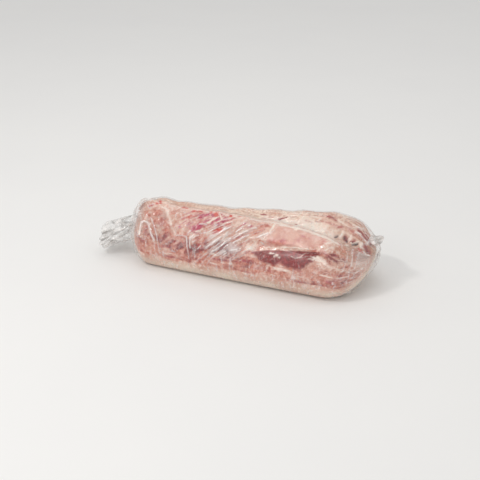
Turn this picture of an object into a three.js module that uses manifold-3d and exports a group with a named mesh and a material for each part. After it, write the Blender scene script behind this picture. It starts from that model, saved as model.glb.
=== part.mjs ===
// A bone-in pork rib loin in its clear bag, lying on its fat side with the rib side up and to the front.
// Millimetres. +X runs along the loin, from the gathered mouth of the bag to its folded end.
// +Y points away from the rib side and +Z up.
// The origin is on the rest face, under the middle of the meat's length.
import * as THREE from "three";
import Module from "manifold-3d";
import { mergeVertices } from "three/addons/utils/BufferGeometryUtils.js";

// The meat's outline, given at stations along its length and measured from the mouth end of the meat.
// front and back are the widest places of the section.
// ridge is the edge of the sawn backbone and crest is the crown of the fat.
const STATIONS = [
  { at: 0, front: -64, ridgeY: -14, ridgeZ: 119, crestY: 22, crestZ: 107, back: 68 },
  { at: 44, front: -71, ridgeY: -19, ridgeZ: 125, crestY: 14, crestZ: 119, back: 76 },
  { at: 106, front: -76, ridgeY: -20, ridgeZ: 119, crestY: 14, crestZ: 116, back: 80 },
  { at: 184, front: -80, ridgeY: -20, ridgeZ: 119, crestY: 22, crestZ: 116, back: 86 },
  { at: 274, front: -84, ridgeY: -24, ridgeZ: 119, crestY: 36, crestZ: 118, back: 97 },
  { at: 354, front: -87, ridgeY: -32, ridgeZ: 121, crestY: 48, crestZ: 123, back: 109 },
  { at: 424, front: -87, ridgeY: -44, ridgeZ: 112, crestY: 52, crestZ: 121, back: 113 },
  { at: 494, front: -78, ridgeY: -58, ridgeZ: 84, crestY: 42, crestZ: 108, back: 100 },
];
const MEAT_LENGTH = STATIONS.at(-1).at;

// How the section closes at each end: over what length, how square the curve is, and about what point.
const MOUTH_END = { round: 58, square: 2.25, y: 0, z: 80 };
const FOLDED_END = { round: 84, square: 2.2, y: 22, z: 70 };

// Places round the section are counted in its control points: 0 is the front edge of the rest face,
// 2 the front, 4 the ridge, 5 the valley behind it, 6 the crest and 8 the back.
const CONTROLS = 12;
const RIDGE = 4;

// Relief, in mm of height or depth. Places along are from the mouth end of the meat.
const RIBS = { from: 34, to: 262, bottom: 2.1, top: 3.7, pitch: 29, lean: 13, height: 3 };
const TENDERLOIN = { from: 262, to: 452, bottom: 2.95, top: 3.9, height: 3.5 };
const FLANK_STEP = { from: 250, to: 470, around: 2.85, width: 0.16, depth: 3.5 };
const CHINE_NOTCHES = { from: 30, to: 464, around: 4.7, width: 0.3, pitch: 29, depth: 2.6 };
const CINCH = { atRidge: 66, atFront: 144, bottom: 1.6, top: 5.2, width: 6, depth: 2.4 };
const END_FOLDS = { reach: 70, bottom: 0.8, top: 9.2, around: 7.3, along: 0.05, depth: 2.2 };
const LUMPS = { bottom: 0.6, top: 9.6 };
const LUMP_WAVES = [
  { height: 1.0, along: 0.11, around: 1.3, phase: 0.4 },
  { height: 1.1, along: 0.047, around: -2.1, phase: 2.2 },
];

// The valley behind the ridge deepens and moves up to the ridge between these places.
const VALLEY = { from: 230, to: 410, dip: [3, 13], share: [0.5, 0.36] };

// The bag's loose ends. root is the centre where each leaves the meat, with x from the mouth end of the meat.
const GATHERED_MOUTH = {
  root: [14, -4, 62], reach: 76, rise: -31, pleats: 9,
  rootWidth: 30, tipWidth: 47, rootHeight: 25, tipHeight: 24,
};
const FOLDED_EAR = {
  root: [474, 36, 84], reach: 27, rise: 8, pleats: 5,
  rootWidth: 19, tipWidth: 16, rootHeight: 10, tipHeight: 7,
};

// The tip of each loose end is dished: an inner rim of this size, set back to this share of the reach.
const DISH = { size: 0.6, rim: 0.97, middle: 0.93 };

// The loose film stays this far above the rest plane, so that the part rests on the meat.
const CLEAR_OF_FLOOR = 1.5;

const MEAT_MESH = { rows: 88, sides: 44, bunching: 1.6 };
const MOUTH_MESH = { rows: 10, sides: 40 };
const EAR_MESH = { rows: 6, sides: 18 };

const { clamp, lerp, smoothstep } = THREE.MathUtils;
const bell = (distance, width) => Math.exp(-((distance / width) ** 2));
// 1 between two values and 0 outside them, with soft edges.
const band = (value, from, to, soft) =>
  smoothstep(value, from - soft, from + soft) * (1 - smoothstep(value, to - soft, to + soft));

// One column of the station table at a place along the loin, by a cubic with slopes from the neighbours.
function rail(name, along) {
  const last = STATIONS.length - 1;
  const i = STATIONS.slice(1, last).filter((station) => station.at <= along).length;
  const slopeAt = (k) => {
    const before = STATIONS[Math.max(k - 1, 0)];
    const after = STATIONS[Math.min(k + 1, last)];
    return (after[name] - before[name]) / (after.at - before.at);
  };
  const [a, b] = [STATIONS[i], STATIONS[i + 1]];
  const span = b.at - a.at;
  const t = (along - a.at) / span;
  return (
    (1 + 2 * t) * (1 - t) ** 2 * a[name] + t * (1 - t) ** 2 * span * slopeAt(i) +
    t * t * (3 - 2 * t) * b[name] + t * t * (t - 1) * span * slopeAt(i + 1)
  );
}

// The control points of one section, [y, z], from the front edge of the rest face up, over and back under.
function sectionControls(along) {
  const [front, ridgeY, ridgeZ, crestY, crestZ, back] =
    ["front", "ridgeY", "ridgeZ", "crestY", "crestZ", "back"].map((name) => rail(name, along));
  const deep = smoothstep(along, VALLEY.from, VALLEY.to);
  const share = lerp(...VALLEY.share, deep);
  return [
    [0.66 * front, 0],
    [0.93 * front, 0.15 * ridgeZ],
    [front, 0.4 * ridgeZ],
    [front + 0.36 * (ridgeY - front), 0.79 * ridgeZ],
    [ridgeY, ridgeZ],
    [lerp(ridgeY, crestY, share), lerp(ridgeZ, crestZ, share) - lerp(...VALLEY.dip, deep)],
    [crestY, crestZ],
    [crestY + 0.68 * (back - crestY), 0.8 * crestZ],
    [back, 0.46 * crestZ],
    [0.93 * back, 0.15 * crestZ],
    [0.64 * back, 0],
    [0, 0],
  ];
}

// A point of the section by a closed Catmull-Rom curve through its controls. The rest face is cut flat.
function sectionPoint(controls, around) {
  const i = Math.floor(around);
  const u = around - i;
  const [p0, p1, p2, p3] = [-1, 0, 1, 2].map((k) => controls[(i + k + CONTROLS) % CONTROLS]);
  const [y, z] = [0, 1].map((c) => 0.5 * (
    2 * p1[c] + (p2[c] - p0[c]) * u + (2 * p0[c] - 5 * p1[c] + 4 * p2[c] - p3[c]) * u ** 2 +
    (3 * p1[c] - p0[c] - 3 * p2[c] + p3[c]) * u ** 3
  ));
  return [y, Math.max(z, 0)];
}

// 0 at the tip of each end and 1 where the section has its full size.
function closing(along) {
  const curve = (distance, { round, square }) =>
    (1 - (1 - clamp(distance / round, 0, 1)) ** square) ** (1 / square);
  return curve(along, MOUTH_END) * curve(MEAT_LENGTH - along, FOLDED_END);
}

// How strongly a patch of relief holds at a place, with edges as soft as given along and around.
const patch = (form, along, around, softAlong, softAround) =>
  band(along, form.from, form.to, softAlong) * band(around, form.bottom, form.top, softAround);

function ribRelief(along, around) {
  const turn = (2 * Math.PI * (along + RIBS.lean * (RIDGE - around))) / RIBS.pitch;
  return RIBS.height * (0.5 + 0.5 * Math.cos(turn)) * patch(RIBS, along, around, 18, 0.5);
}

function tenderloinRelief(along, around) {
  const step = bell(around - FLANK_STEP.around, FLANK_STEP.width) *
    band(along, FLANK_STEP.from, FLANK_STEP.to, 25);
  return TENDERLOIN.height * patch(TENDERLOIN, along, around, 34, 0.16) - FLANK_STEP.depth * step;
}

// Gaps between the spines of the sawn backbone, just behind the ridge.
function chineRelief(along, around) {
  const gap = (0.5 + 0.5 * Math.cos((2 * Math.PI * along) / CHINE_NOTCHES.pitch)) ** 3;
  return -CHINE_NOTCHES.depth * gap * bell(around - CHINE_NOTCHES.around, CHINE_NOTCHES.width) *
    band(along, CHINE_NOTCHES.from, CHINE_NOTCHES.to, 20);
}

// Where the film draws in: one slanting pull across the shoulder, and the folds that gather round both ends.
function filmRelief(along, around) {
  const pull = lerp(CINCH.atRidge, CINCH.atFront, 0.5 * (RIDGE - around));
  const cinch = -CINCH.depth * bell(along - pull, CINCH.width) * band(around, CINCH.bottom, CINCH.top, 0.4);
  const toEnd = Math.min(along, MEAT_LENGTH - along);
  const nearEnd = 1 - smoothstep(toEnd, 0.2 * END_FOLDS.reach, END_FOLDS.reach);
  const folds = END_FOLDS.depth * nearEnd * Math.cos(END_FOLDS.around * around + END_FOLDS.along * along) *
    band(around, END_FOLDS.bottom, END_FOLDS.top, 0.6);
  return cinch + folds;
}

function lumpRelief(along, around) {
  const sum = LUMP_WAVES.reduce((total, wave) =>
    total + wave.height * Math.sin(wave.along * along + wave.around * around + wave.phase), 0);
  return sum * band(around, LUMPS.bottom, LUMPS.top, 0.5);
}

// A point on the meat. Relief pushes it away from the middle of its section and leaves the rest face alone.
function meatPoint(along, around) {
  const [y, z] = sectionPoint(sectionControls(along), around);
  const middleY = lerp(MOUTH_END.y, FOLDED_END.y, along / MEAT_LENGTH);
  const middleZ = lerp(MOUTH_END.z, FOLDED_END.z, along / MEAT_LENGTH);
  const reach = Math.hypot(y - middleY, z - middleZ);
  const relief = ribRelief(along, around) + tenderloinRelief(along, around) + chineRelief(along, around) +
    filmRelief(along, around) + lumpRelief(along, around);
  const grow = (1 + (relief * smoothstep(z, 6, 30)) / reach) * closing(along);
  return [along - MEAT_LENGTH / 2, middleY + (y - middleY) * grow, middleZ + (z - middleZ) * grow];
}

// Rows bunch towards both ends, where the form closes.
function alongAt(row) {
  const s = (2 * row) / MEAT_MESH.rows - 1;
  const bunched = Math.sign(s) * (1 - (1 - Math.abs(s)) ** MEAT_MESH.bunching);
  return (MEAT_LENGTH * (1 + bunched)) / 2;
}

// A closed skin from rings of points, with one pole at each end.
// Each ring runs anticlockwise seen from the last pole.
function closedSkin(rings, firstPole, lastPole) {
  const count = rings[0].length;
  const points = [firstPole, ...rings.flat(), lastPole];
  const faces = [];
  const at = (ring, k) => 1 + ring * count + (k % count);
  for (let k = 0; k < count; k++) {
    faces.push([0, at(0, k + 1), at(0, k)]);
    for (let ring = 0; ring < rings.length - 1; ring++) {
      faces.push([at(ring, k), at(ring, k + 1), at(ring + 1, k)]);
      faces.push([at(ring, k + 1), at(ring + 1, k + 1), at(ring + 1, k)]);
    }
    faces.push([points.length - 1, at(rings.length - 1, k), at(rings.length - 1, k + 1)]);
  }
  const geometry = new THREE.BufferGeometry();
  geometry.setAttribute("position", new THREE.Float32BufferAttribute(points.flat(), 3));
  geometry.setIndex(faces.flat());
  return geometry;
}

function wrappedMeat() {
  const rings = [];
  for (let row = 1; row < MEAT_MESH.rows; row++) {
    const along = alongAt(row);
    const ring = [];
    for (let k = MEAT_MESH.sides; k > 0; k--) ring.push(meatPoint(along, (CONTROLS * k) / MEAT_MESH.sides));
    rings.push(ring);
  }
  return closedSkin(rings, meatPoint(0, 0), meatPoint(MEAT_LENGTH, 0));
}

// A bunch of slack film that leaves the meat at its root: a fan thrown into pleats, with a dished tip.
// direction is -1 towards the mouth end and 1 towards the folded end.
function filmFan(fan, direction, rows, sides) {
  const [x, y, z] = [fan.root[0] - MEAT_LENGTH / 2, fan.root[1], fan.root[2]];
  const ringAt = (share, size) => {
    const width = size * lerp(fan.rootWidth, fan.tipWidth, share ** 0.8);
    const height = size * lerp(fan.rootHeight, fan.tipHeight, share ** 0.8);
    const ring = [];
    for (let k = 0; k < sides; k++) {
      const turn = (direction * 2 * Math.PI * k) / sides;
      const pleat = 1 + share * (0.11 * Math.cos(fan.pleats * turn + 1.3) + 0.07 * Math.cos(4 * turn + 0.5));
      const ragged = 1 + 0.07 * Math.sin(2 * turn + 0.6) + 0.06 * Math.sin(fan.pleats * turn);
      ring.push([
        x + direction * fan.reach * share * ragged * (size < 1 ? DISH.rim : 1),
        y + width * pleat * Math.cos(turn),
        Math.max(z + fan.rise * share + height * pleat * Math.sin(turn), CLEAR_OF_FLOOR),
      ]);
    }
    return ring;
  };
  const rings = [];
  for (let row = 0; row <= rows; row++) rings.push(ringAt(row / rows, 1));
  rings.push(ringAt(1, DISH.size));
  return closedSkin(rings, [x, y, z], [x + direction * fan.reach * DISH.middle, y, z + fan.rise]);
}

const wasm = await Module();
wasm.setup();

function solidFrom(geometry) {
  const merged = mergeVertices(geometry, 1e-4);
  return new wasm.Manifold(new wasm.Mesh({
    numProp: 3,
    vertProperties: merged.getAttribute("position").array,
    triVerts: new Uint32Array(merged.index.array),
  }));
}

function geometryFrom(solid) {
  const mesh = solid.getMesh();
  const geometry = new THREE.BufferGeometry();
  geometry.setAttribute("position", new THREE.BufferAttribute(Float32Array.from(mesh.vertProperties), 3));
  geometry.setIndex(new THREE.BufferAttribute(Uint32Array.from(mesh.triVerts), 1));
  geometry.computeVertexNormals();
  return geometry;
}

const FILM_OVER_MEAT = new THREE.MeshStandardMaterial({ color: 0xd9b3a8, roughness: 0.3, metalness: 0 });

const joined = solidFrom(wrappedMeat())
  .add(solidFrom(filmFan(GATHERED_MOUTH, -1, MOUTH_MESH.rows, MOUTH_MESH.sides)))
  .add(solidFrom(filmFan(FOLDED_EAR, 1, EAR_MESH.rows, EAR_MESH.sides)));

const loin = new THREE.Mesh(geometryFrom(joined), FILM_OVER_MEAT);
loin.name = "bagged_loin";

const part = new THREE.Group();
part.add(loin);

export default part;
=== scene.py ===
"""The looks of a bone-in pork rib loin in its clear film bag, in metres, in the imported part's own frame.

Two closed skins are worked out on one grid that runs along the loin and around its section: the film, which
has the part's outer form with its creases, and the meat a little inside it. Two more pieces of film are the
bag's gathered mouth and its folded ear. What the meat is made of at each place, such as lean, fat or marrow,
is a set of masks worked out on the grid, and the materials' nodes add the fine grain.
"""
import math

import bpy
import numpy as np
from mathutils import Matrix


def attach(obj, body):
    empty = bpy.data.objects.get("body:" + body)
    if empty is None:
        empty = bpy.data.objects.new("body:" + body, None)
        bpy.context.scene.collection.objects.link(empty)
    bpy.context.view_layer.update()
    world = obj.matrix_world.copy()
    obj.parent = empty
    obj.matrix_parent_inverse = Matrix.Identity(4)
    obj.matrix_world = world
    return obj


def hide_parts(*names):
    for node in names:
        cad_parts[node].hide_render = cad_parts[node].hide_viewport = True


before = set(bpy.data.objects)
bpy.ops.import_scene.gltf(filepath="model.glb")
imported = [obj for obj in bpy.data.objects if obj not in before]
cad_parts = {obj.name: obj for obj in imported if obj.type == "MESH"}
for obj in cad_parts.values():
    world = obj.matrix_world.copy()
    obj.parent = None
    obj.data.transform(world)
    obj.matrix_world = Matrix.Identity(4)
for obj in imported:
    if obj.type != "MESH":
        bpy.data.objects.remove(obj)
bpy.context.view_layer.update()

TAU = 2 * math.pi
MM = 0.001
NODE = "bagged_loin"

# The bag's outer form at stations along the meat, from its mouth end. The columns are the place along, the
# front's y, the ridge's y and z, the crest's y and z, and the back's y.
STATIONS = np.array([
    [0.000, -0.064, -0.014, 0.119, 0.022, 0.107, 0.068],
    [0.044, -0.071, -0.019, 0.125, 0.014, 0.119, 0.076],
    [0.106, -0.076, -0.020, 0.119, 0.014, 0.116, 0.080],
    [0.184, -0.080, -0.020, 0.119, 0.022, 0.116, 0.086],
    [0.274, -0.084, -0.024, 0.119, 0.036, 0.118, 0.097],
    [0.354, -0.087, -0.032, 0.121, 0.048, 0.123, 0.109],
    [0.424, -0.087, -0.044, 0.112, 0.052, 0.121, 0.113],
    [0.494, -0.078, -0.058, 0.084, 0.042, 0.108, 0.100],
])
LENGTH = STATIONS[-1, 0]

# Each end's closing: the length that it takes, the power of its squared-off round, and the tip's y and z.
MOUTH_END = {"round": 0.058, "square": 2.25, "y": 0.0, "z": 0.080}
FOLDED_END = {"round": 0.084, "square": 2.2, "y": 0.022, "z": 0.070}

# Places around a section are counted in its twelve control points, from the front edge of the rest face.
# The front is 2, the ridge 4, the valley behind it 5, the crest 6 and the back 8. Lengths around are measured
# on the section at MIDDLE, from the seam under the loin.
CONTROLS = 12
RIDGE = 4
SEAM = 11
MIDDLE = 0.25

# The ribs' spacing, and how far each leans along the loin from one control point to the next.
RIB_PITCH = 0.029
RIB_LEAN = 0.013

# The film's slanting pulls, and the meat's streaks under them, run at this angle in degrees to the length.
SLANT = 41

# Grid sizes of the two skins, and how many times wider the steps around are on the rest face.
END_ROWS = 54
MIDDLE_ROWS = 222
SIDES = 294
REST_FACE_STEP = 4.0

# How far the meat lies inside the film, on the rest face and elsewhere, how much further at both ends,
# and the least gap between the two.
REST_DEPTH = 0.0004
MEAT_DEPTH = 0.0013
MOUTH_CLEARANCE = 0.0085
FOLDED_CLEARANCE = 0.0065
LEAST_GAP = 0.00025

# How much deeper the meat lies halfway between two ribs, along the tenderloin's edge, and by its masks.
BETWEEN_RIBS = 0.0011
TENDERLOIN_RIM = 0.0007
MASK_DEPTHS = {"hollow": 0.0034, "dark": 0.0006, "fat": -0.0005, "seam": 0.0003}

# The bag's loose ends. root is the centre where each leaves the meat, with x from the mouth end of the meat.
# Widths and heights are halves, at the root and at the tip. reach and rise are how far along and up the tip
# lies, sharpness is how strongly its bends turn white or dark, and veil is how milky it is.
GATHERED_MOUTH = {
    "root": (0.014, -0.004, 0.062), "reach": 0.074, "rise": -0.031, "folds": 15, "direction": -1,
    "width": (0.030, 0.050), "height": (0.025, 0.027), "seed": 61, "sharpness": 9.0, "veil": 0.05,
}
FOLDED_EAR = {
    "root": (0.474, 0.036, 0.084), "reach": 0.022, "rise": 0.006, "folds": 7, "direction": 1,
    "width": (0.019, 0.015), "height": (0.010, 0.007), "seed": 83, "sharpness": 6.0, "veil": 0.10,
}
CLEAR_OF_FLOOR = 0.0015

# How wide the white crest of a fold is, as a share of the fold.
CREST_SHARE = 0.66


def lerp(a, b, share):
    return a + (b - a) * share


def smoothstep(value, start, end):
    share = np.clip((value - start) / (end - start), 0, 1)
    return share * share * (3 - 2 * share)


def band(value, start, end, soft):
    """1 between start and end and 0 outside them, with soft edges."""
    return smoothstep(value, start - soft, start + soft) * (1 - smoothstep(value, end - soft, end + soft))


def bell(distance, width):
    return np.exp(-(distance / width) ** 2)


def lattice_noise(u, v, cell, seed, octaves=3):
    """Smooth noise from -1 to 1: random heights at the corners of square cells, blended smoothly between
    them, and summed over octaves of half the size and half the height."""
    total = 0.0
    for octave in range(octaves):
        heights = np.random.default_rng(seed + octave).uniform(-1, 1, (256, 256))
        a, b = u / cell * 2 ** octave + 57, v / cell * 2 ** octave + 91
        i, j = np.floor(a).astype(int), np.floor(b).astype(int)
        s, t = a - i, b - j
        s, t = s * s * (3 - 2 * s), t * t * (3 - 2 * t)
        i0, i1, j0, j1 = i % 256, (i + 1) % 256, j % 256, (j + 1) % 256
        low = lerp(heights[i0, j0], heights[i1, j0], s)
        high = lerp(heights[i0, j1], heights[i1, j1], s)
        total = total + lerp(low, high, t) / 2 ** octave
    return total / (2 - 0.5 ** (octaves - 1))


def share_noise(u, v, cell, seed, octaves=3):
    """The same noise as shares from 0 to 1."""
    return 0.5 + 0.5 * lattice_noise(u, v, cell, seed, octaves)


def turned(u, v, degrees):
    """The plane's coordinates turned, so that the first runs at this angle to the loin's length."""
    c, s = math.cos(math.radians(degrees)), math.sin(math.radians(degrees))
    return u * c + v * s, v * c - u * s


def crests(u, v, degrees, long, short, seed, sharp=3.0):
    """Thin crests at an angle to the loin's length: 1 where stretched noise crosses zero, and falling off to
    both sides. The noise is long by short metres, and its lines wander a little."""
    a, b = turned(u, v, degrees)
    wander = 0.5 * short * lattice_noise(u, v, 4 * short, seed + 40, 1)
    return (1 - np.abs(lattice_noise(a / long, (b + wander) / short, 1, seed, 2))) ** sharp


def rail(column, along):
    """One column of the stations at a place along: a cubic whose slopes come from the stations beside it."""
    at, value = STATIONS[:, 0], STATIONS[:, column]
    before = np.maximum(np.arange(len(at)) - 1, 0)
    after = np.minimum(np.arange(len(at)) + 1, len(at) - 1)
    slope = (value[after] - value[before]) / (at[after] - at[before])
    i = np.clip(np.searchsorted(at, along, side="right") - 1, 0, len(at) - 2)
    span = at[i + 1] - at[i]
    t = (along - at[i]) / span
    return ((1 + 2 * t) * (1 - t) ** 2 * value[i] + t * (1 - t) ** 2 * span * slope[i]
            + t * t * (3 - 2 * t) * value[i + 1] + t * t * (t - 1) * span * slope[i + 1])


def section_controls(along):
    """The twelve control points of the section, as y and z, at each place along."""
    front, ridge_y, ridge_z, crest_y, crest_z, back = (rail(column, along) for column in range(1, 7))
    deep = smoothstep(along, 0.230, 0.410)
    valley = lerp(0.5, 0.36, deep)
    nil = 0 * along
    pairs = [
        (0.66 * front, nil),
        (0.93 * front, 0.15 * ridge_z),
        (front, 0.4 * ridge_z),
        (front + 0.36 * (ridge_y - front), 0.79 * ridge_z),
        (ridge_y, ridge_z),
        (lerp(ridge_y, crest_y, valley), lerp(ridge_z, crest_z, valley) - lerp(0.003, 0.013, deep)),
        (crest_y, crest_z),
        (crest_y + 0.68 * (back - crest_y), 0.8 * crest_z),
        (back, 0.46 * crest_z),
        (0.93 * back, 0.15 * crest_z),
        (0.64 * back, nil),
        (nil, nil),
    ]
    return np.stack([np.stack(pair, -1) for pair in pairs], -2)


def section_point(along, around):
    """A point of the section: a closed Catmull-Rom curve through its controls, cut flat at the rest face."""
    controls = section_controls(along)
    i = np.floor(around).astype(int)
    u = (around - i)[..., None]
    a, b, c, d = (np.take_along_axis(controls, np.mod(i + k, CONTROLS)[..., None, None], -2)[..., 0, :]
                  for k in (-1, 0, 1, 2))
    yz = 0.5 * (2 * b + (c - a) * u + (2 * a - 5 * b + 4 * c - d) * u ** 2 + (3 * b - a - 3 * c + d) * u ** 3)
    return yz[..., 0], np.maximum(yz[..., 1], 0)


def closing(along):
    """0 at each tip and 1 where the section has its full size, by a squared-off round curve at each end."""
    def curve(distance, end):
        share = np.clip(distance / end["round"], 0, 1)
        return (1 - (1 - share) ** end["square"]) ** (1 / end["square"])
    return curve(along, MOUTH_END) * curve(LENGTH - along, FOLDED_END)


def pull_line(around):
    """Where the white slanting pull of the film across the shoulder lies along the loin."""
    return lerp(0.066, 0.144, 0.5 * (RIDGE - around))


def rib_wave(along, around):
    """1 on the middle of each rib and 0 halfway between two."""
    return 0.5 + 0.5 * np.cos(TAU * (along + RIB_LEAN * (RIDGE - around)) / RIB_PITCH)


def part_relief(along, around):
    """The part's own relief: ribs, the tenderloin with the step of the flank below it, the gaps between the
    spines behind the ridge, the film's slanting pull and end folds, and long lumps."""
    ribs = 0.003 * rib_wave(along, around) * band(along, 0.034, 0.262, 0.018) * band(around, 2.1, 3.7, 0.5)
    tenderloin = 0.0035 * band(along, 0.262, 0.452, 0.034) * band(around, 2.95, 3.9, 0.16)
    flank = -0.0035 * bell(around - 2.85, 0.16) * band(along, 0.250, 0.470, 0.025)
    gap = (0.5 + 0.5 * np.cos(TAU * along / RIB_PITCH)) ** 3
    spines = -0.0026 * gap * bell(around - 4.7, 0.3) * band(along, 0.030, 0.464, 0.020)
    pull = -0.0024 * bell(along - pull_line(around), 0.006) * band(around, 1.6, 5.2, 0.4)
    near_end = 1 - smoothstep(np.minimum(along, LENGTH - along), 0.014, 0.070)
    folds = 0.0022 * near_end * np.cos(7.3 * around + 50 * along) * band(around, 0.8, 9.2, 0.6)
    lumps = 0.0010 * np.sin(110 * along + 1.3 * around + 0.4)
    lumps = lumps + 0.0011 * np.sin(47 * along - 2.1 * around + 2.2)
    return ribs + tenderloin + flank + spines + pull + folds + lumps * band(around, 0.6, 9.6, 0.5)


def bag_form(along, around):
    """The bag's outer form: the section drawn in towards a middle point by the closing at the ends, with the
    relief pushed out from that middle. The middle moves evenly from one end's point to the other's."""
    y, z = section_point(along, around)
    middle_y = lerp(MOUTH_END["y"], FOLDED_END["y"], along / LENGTH)
    middle_z = lerp(MOUTH_END["z"], FOLDED_END["z"], along / LENGTH)
    reach = np.hypot(y - middle_y, z - middle_z)
    relief = part_relief(along, around) * smoothstep(z, 0.006, 0.030)
    grow = (1 + relief / reach) * closing(along)
    y = middle_y + (y - middle_y) * grow
    z = middle_z + (z - middle_z) * grow
    return np.stack([along - LENGTH / 2, y, z], -1)


def arc_table():
    """Places around the middle section, from the seam under the loin, the length up to each, and the same
    length with the rest face shortened."""
    around = np.linspace(SEAM, SEAM + CONTROLS, 2401)
    y, z = section_point(np.full_like(around, MIDDLE), around)
    steps = np.hypot(np.diff(y), np.diff(z))
    resting = (z[1:] + z[:-1]) < 0.0004
    short_steps = np.where(resting, steps / REST_FACE_STEP, steps)
    return around, np.append(0, np.cumsum(steps)), np.append(0, np.cumsum(short_steps))


ARC_AROUND, ARC_LENGTH, ARC_STEPS = arc_table()
GIRTH = ARC_LENGTH[-1]


def girth_at(around):
    """Length around the middle section at a place around, from the seam under the loin."""
    return np.interp(np.mod(np.asarray(around, float) - SEAM, CONTROLS) + SEAM, ARC_AROUND, ARC_LENGTH)


def grid_places():
    """The grid's places along and around. Rows are even in the middle and follow the closing curve at the
    ends. Sides are even by length around the middle section, and wider apart on the rest face."""
    turn = np.linspace(0, TAU / 4, END_ROWS, endpoint=False)[1:]
    mouth = MOUTH_END["round"] * (1 - np.cos(turn) ** (2 / MOUTH_END["square"]))
    folded = LENGTH - FOLDED_END["round"] * (1 - np.cos(turn) ** (2 / FOLDED_END["square"]))
    middle = np.linspace(MOUTH_END["round"], LENGTH - FOLDED_END["round"], MIDDLE_ROWS)
    rows = np.concatenate([mouth, middle, folded[::-1]])
    steps = np.linspace(0, ARC_STEPS[-1], SIDES, endpoint=False)
    sides = np.interp(steps, ARC_STEPS, ARC_AROUND)
    return np.meshgrid(rows, sides, indexing="ij")


def unit(vectors):
    return vectors / np.maximum(np.linalg.norm(vectors, axis=-1, keepdims=True), 1e-9)


def outward(points, along):
    """Unit vectors out of a grid that is closed around: the normals, from the differences of neighbouring
    points, turned to the loin's length near both tips, where the folds run together."""
    normal = unit(np.cross(np.gradient(points, axis=0), np.roll(points, -1, 1) - np.roll(points, 1, 1)))
    length_way = np.where(along < LENGTH / 2, -1.0, 1.0)[..., None] * [1.0, 0.0, 0.0]
    tip = (1 - smoothstep(closing(along), 0.20, 0.60))[..., None]
    return unit(lerp(normal, length_way, tip))


ALONG, AROUND_RAW = grid_places()
AROUND = np.mod(AROUND_RAW, CONTROLS)
V = girth_at(AROUND_RAW)
FORM = bag_form(ALONG, AROUND)
NORMAL = outward(FORM, ALONG)
OFF_FLOOR = smoothstep(FORM[..., 2], 0.001, 0.012)
TO_MOUTH = 1 - smoothstep(ALONG, 0.010, 0.075)
TO_FOLDED = smoothstep(ALONG, LENGTH - 0.085, LENGTH - 0.012)


def patch(along_from, along_to, around_from, around_to, soft_along=0.015, soft_around=0.25):
    """1 on a patch of the surface and 0 off it, with soft edges."""
    return (band(ALONG, along_from, along_to, soft_along)
            * band(AROUND, around_from, around_to, soft_around))


def shifted(lengths, seed):
    """Lengths moved a little by coarse and fine noise, so that no mark has a perfectly even outline."""
    coarse = lengths + 0.0024 * lattice_noise(ALONG, V, 0.011, seed, 2)
    return coarse + 0.0009 * lattice_noise(ALONG, V, 0.003, seed + 20, 1)


U_SHIFTED = shifted(ALONG, 301)
V_SHIFTED = shifted(V, 311)


def spot(along, around, long, wide, degrees):
    """1 on an ellipse round a place and falling off steeply outside it, turned by an angle to the length. The
    place along, the half length and the half width are in millimetres."""
    a, b = turned(U_SHIFTED - MM * along, V_SHIFTED - girth_at(around), degrees)
    return np.exp(-0.45 * ((a / (MM * long)) ** 2 + (b / (MM * wide)) ** 2) ** 1.6)


def streak(start_along, start_around, end_along, end_around, width, bow, even):
    """1 on a line between two places and falling off as a bell. The line bows sideways by a share of its
    length, and wanders a little where even is false. Places along and the half width are in millimetres."""
    u, v = (ALONG, V) if even else (U_SHIFTED, V_SHIFTED)
    start_u, start_v = MM * start_along, float(girth_at(start_around))
    du, dv = MM * end_along - start_u, float(girth_at(end_around)) - start_v
    length = math.hypot(du, dv)
    along = ((u - start_u) * du + (v - start_v) * dv) / length
    share = np.clip(along / length, 0, 1)
    side = ((v - start_v) * du - (u - start_u) * dv) / length
    return bell(np.hypot(side - bow * length * 4 * share * (1 - share), along - share * length), MM * width)


def all_spots(marks):
    """The greatest of several spots, each with its strength at its end."""
    return np.max([strength * spot(*mark) for *mark, strength in marks], axis=0)


def all_streaks(lines, even=False):
    """The greatest of several streaks, each with its strength at its end."""
    return np.max([strength * streak(*line, even) for *line, strength in lines], axis=0)


def roughened(mask, cell, amount, seed):
    """A mask with an uneven edge: noise is added where the mask is neither 0 nor 1."""
    edge = 4 * mask * (1 - mask)
    return np.clip(mask + amount * edge * lattice_noise(ALONG, V, cell, seed), 0, 1)


# What the meat is made of. A spot is its place along and around, its half length, half width, turn in degrees
# and strength. A line is its start and end, each along and around, its half width, bow and strength. Places
# along, half lengths and half widths are in millimetres. Spots of red marrow and blood come first, then those
# of salmon lean, rose lean, dark muscle and cream fat, and then lines of cream fat, of the back's red seams
# and of the hollow slots, which are sunk in and painted near black as painted shade.
MARROW = [
    (63, 4.18, 4.4, 3, -15, 1),
    (60, 3.86, 4, 3, 40, 0.6),
    (66, 3.98, 3, 2.4, 0, 0.7),
    (49, 3.67, 6, 2, 10, 0.5),
    (114, 4.13, 4, 3.4, 0, 1),
    (121, 4.05, 2.8, 2.8, 0, 0.7),
    (111, 5, 5, 2.6, 0, 0.8),
    (139, 3.84, 5, 3.6, 10, 0.7),
    (137, 3.51, 6, 3, 12, 0.62),
    (152, 3.96, 4, 3.2, 0, 0.75),
    (173, 3.99, 3, 3.4, 0, 0.9),
    (186, 3.92, 3.8, 4.8, -10, 1),
    (215, 4.01, 2.2, 3.4, 0, 1),
    (233, 4.12, 3, 2.4, 0, 0.85),
    (202, 3.15, 8.4, 3.6, 14, 1),
    (196, 3.07, 5, 2.6, 50, 0.9),
    (168, 2.48, 6.2, 3.4, -12, 0.35),
    (132, 2.52, 5, 3.4, -30, 0.5),
    (402, 3.15, 6, 3, -20, 0.3),
    (469, 4.97, 4.4, 2, -20, 0.75),
    (283, 5.2, 5, 1.6, 5, 0.6),
    (436, 4.4, 8, 2.2, -35, 0.55),
]
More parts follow.
